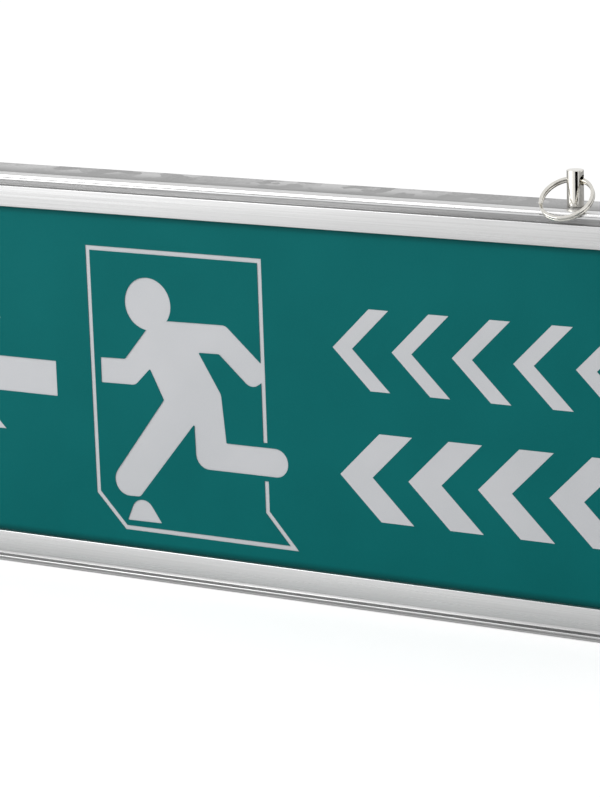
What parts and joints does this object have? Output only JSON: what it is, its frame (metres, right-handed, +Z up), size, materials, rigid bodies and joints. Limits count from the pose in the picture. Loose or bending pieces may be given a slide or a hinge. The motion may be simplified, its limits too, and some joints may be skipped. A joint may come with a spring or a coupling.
{
  "type": "emergency exit light",
  "caption": "Slim suspended exit light: green running-figure panel in a grooved aluminium frame on a steel box, hung by pins with split rings.",
  "frame": {"origin": "on the underside, at mid length and mid depth of the case", "axes": "+X along the sign to the reader's right, the legend faces -Y, +Z up"},
  "size_m": [0.382, 0.0283, 0.1786],
  "materials": {
    "brushed_aluminium": "satin anodised extrusion, fine lengthwise lines",
    "galvanised_steel": "galvanised sheet, soft mottled grey",
    "nickel_plate": "polished nickel plate",
    "screw_steel": "zinc-plated steel",
    "green_film": "deep green vinyl film, semi-matt",
    "opal_acrylic": "opal white acrylic",
    "clear_acrylic": "clear light guide",
    "white_reflector": "white reflector film",
    "grey_foam": "closed-cell foam",
    "black_rubber": "moulded rubber",
    "circuit_laminate": "glass-fibre laminate with solder mask",
    "led_white": "white LED package",
    "dark_ferrite": "ferrite core with taped winding",
    "capacitor_sleeve": "sleeved aluminium can",
    "black_epoxy": "moulded epoxy package",
    "resistor_body": "lacquered ceramic rod",
    "fuse_glass": "glass fuse with metal caps",
    "clip_brass": "tinned spring brass",
    "white_nylon": "moulded nylon",
    "black_nylon": "moulded nylon",
    "cell_sleeve": "shrink sleeve over metal cells",
    "button_red": "moulded cap",
    "lamp_green": "tinted lamp",
    "lead_sheath": "flexible insulation"
  },
  "bodies": {
    "sign": {"back_cover": "galvanised_steel", "battery_leads": "lead_sheath", "battery_pack": "cell_sleeve", "battery_plug": "white_nylon", "battery_socket": "white_nylon", "battery_strap": "galvanised_steel", "bezel_bottom_rail": "brushed_aluminium", "bezel_left_rail": "brushed_aluminium", "bezel_right_rail": "brushed_aluminium", "bezel_top_rail": "brushed_aluminium", "board_screws": "screw_steel", "board_standoffs": "clip_brass", "bracket_screws": "screw_steel", "button_bush": "black_nylon", "cable_clamp": "black_nylon", "cable_grommet": "black_rubber", "capacitor": "capacitor_sleeve", "charge_lamp": "lamp_green", "chassis_plate": "galvanised_steel", "clamp_screws": "screw_steel", "control_board": "circuit_laminate", "corner_keys": "brushed_aluminium", "cover_screws": "screw_steel", "diffuser_panel": "opal_acrylic", "diodes": "black_epoxy", "frame_screws": "screw_steel", "fuse_clips": "clip_brass", "fuse_link": "fuse_glass", "housing_tray": "galvanised_steel", "led_chips": "led_white", "led_leads": "lead_sheath", "led_strip_board": "circuit_laminate", "legend_film": "green_film", "light_guide": "clear_acrylic", "mains_leads": "lead_sheath", "panel_gasket": "grey_foam", "pin_nuts": "screw_steel", "pin_washers": "screw_steel", "power_transistors": "black_epoxy", "reflector_sheet": "white_reflector", "resistors": "resistor_body", "strap_screws": "screw_steel", "suspension_pin_left": "nickel_plate", "suspension_pin_right": "nickel_plate", "switch_board": "circuit_laminate", "switch_bracket": "galvanised_steel", "switch_leads": "lead_sheath", "terminal_block": "white_nylon", "terminal_screws": "screw_steel", "test_switch": "black_epoxy", "top_channel": "galvanised_steel", "transformer": "dark_ferrite"},
    "ring_left": {"split_ring_left": "nickel_plate"},
    "ring_right": {"split_ring_right": "nickel_plate"},
    "button": {"test_button": "button_red", "switch_plunger": "white_nylon"}
  },
  "joints": [
    {"name": "ring_left_swing", "type": "hinge", "parent": "sign", "child": "ring_left", "pos_m": [-0.135, 0, 0.1748], "axis": [-1, 0, 0], "range_deg": [0, 253]},
    {"name": "ring_right_swing", "type": "hinge", "parent": "sign", "child": "ring_right", "pos_m": [0.135, 0, 0.1748], "axis": [-1, 0, 0], "range_deg": [0, 253]},
    {"name": "test_press", "type": "slide", "parent": "sign", "child": "button", "axis": [-1, 0, 0], "range_m": [0, 0.0008], "stiffness_N_per_m": 1500, "springref_m": -0.0005}
  ]
}
